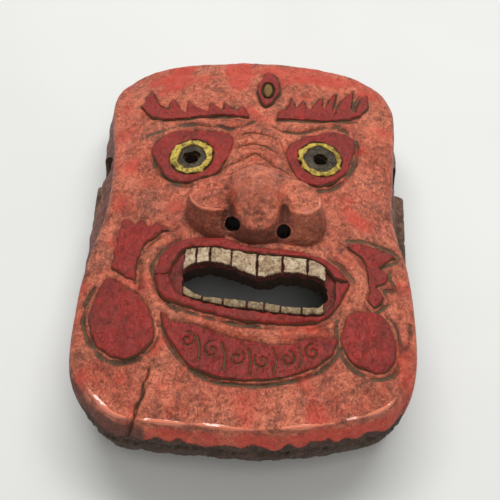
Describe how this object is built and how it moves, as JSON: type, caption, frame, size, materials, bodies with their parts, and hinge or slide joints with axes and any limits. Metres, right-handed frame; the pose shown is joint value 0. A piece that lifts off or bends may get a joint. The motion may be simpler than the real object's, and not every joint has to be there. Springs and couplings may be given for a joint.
{
  "type": "carved wooden mask",
  "caption": "Hollow carved wooden demon mask with open mouth, pierced pupils and nostrils, painted inlaid reliefs and a flat back rim.",
  "frame": {"origin": "middle of the bounding box, in the plane of the flat back rim", "axes": "+Z out of the face, away from the rim; +Y from chin to crown; +X to the right of someone looking at the face"},
  "size_m": [0.205, 0.2768, 0.1161],
  "materials": {
    "coral_paint": "worn coral red paint over carved wood, scuffed to brown along every edge",
    "dark_red_paint": "darker red paint, semi-gloss, chipped",
    "yellow_paint": "ochre yellow paint, rubbed",
    "gold_paint": "dull gold paint",
    "iris_paint": "near-black paint",
    "tooth_paint": "dirty ivory paint",
    "bare_wood": "bare darkened wood with old red stain"
  },
  "bodies": {
    "root": {"mask_shell": "coral_paint", "nose": "coral_paint", "ear_left": "bare_wood", "ear_right": "bare_wood", "forehead_petal": "dark_red_paint", "forehead_stone": "gold_paint", "upper_lip": "dark_red_paint", "lower_lip": "dark_red_paint", "chin_beard": "dark_red_paint", "brow_left": "dark_red_paint", "eye_patch_left": "dark_red_paint", "eye_ring_left": "yellow_paint", "iris_left": "iris_paint", "cheek_flame_left": "dark_red_paint", "cheek_disc_left": "dark_red_paint", "brow_right": "dark_red_paint", "eye_patch_right": "dark_red_paint", "eye_ring_right": "yellow_paint", "iris_right": "iris_paint", "cheek_flame_right": "dark_red_paint", "cheek_disc_right": "dark_red_paint", "upper_tooth_1": "tooth_paint", "lower_tooth_1": "tooth_paint", "upper_tooth_2": "tooth_paint", "lower_tooth_2": "tooth_paint", "upper_tooth_3": "tooth_paint", "lower_tooth_3": "tooth_paint", "upper_tooth_4": "tooth_paint", "lower_tooth_4": "tooth_paint", "upper_tooth_5": "tooth_paint", "lower_tooth_5": "tooth_paint", "upper_tooth_6": "tooth_paint", "lower_tooth_6": "tooth_paint", "upper_tooth_7": "tooth_paint", "lower_tooth_7": "tooth_paint"}
  },
  "joints": []
}
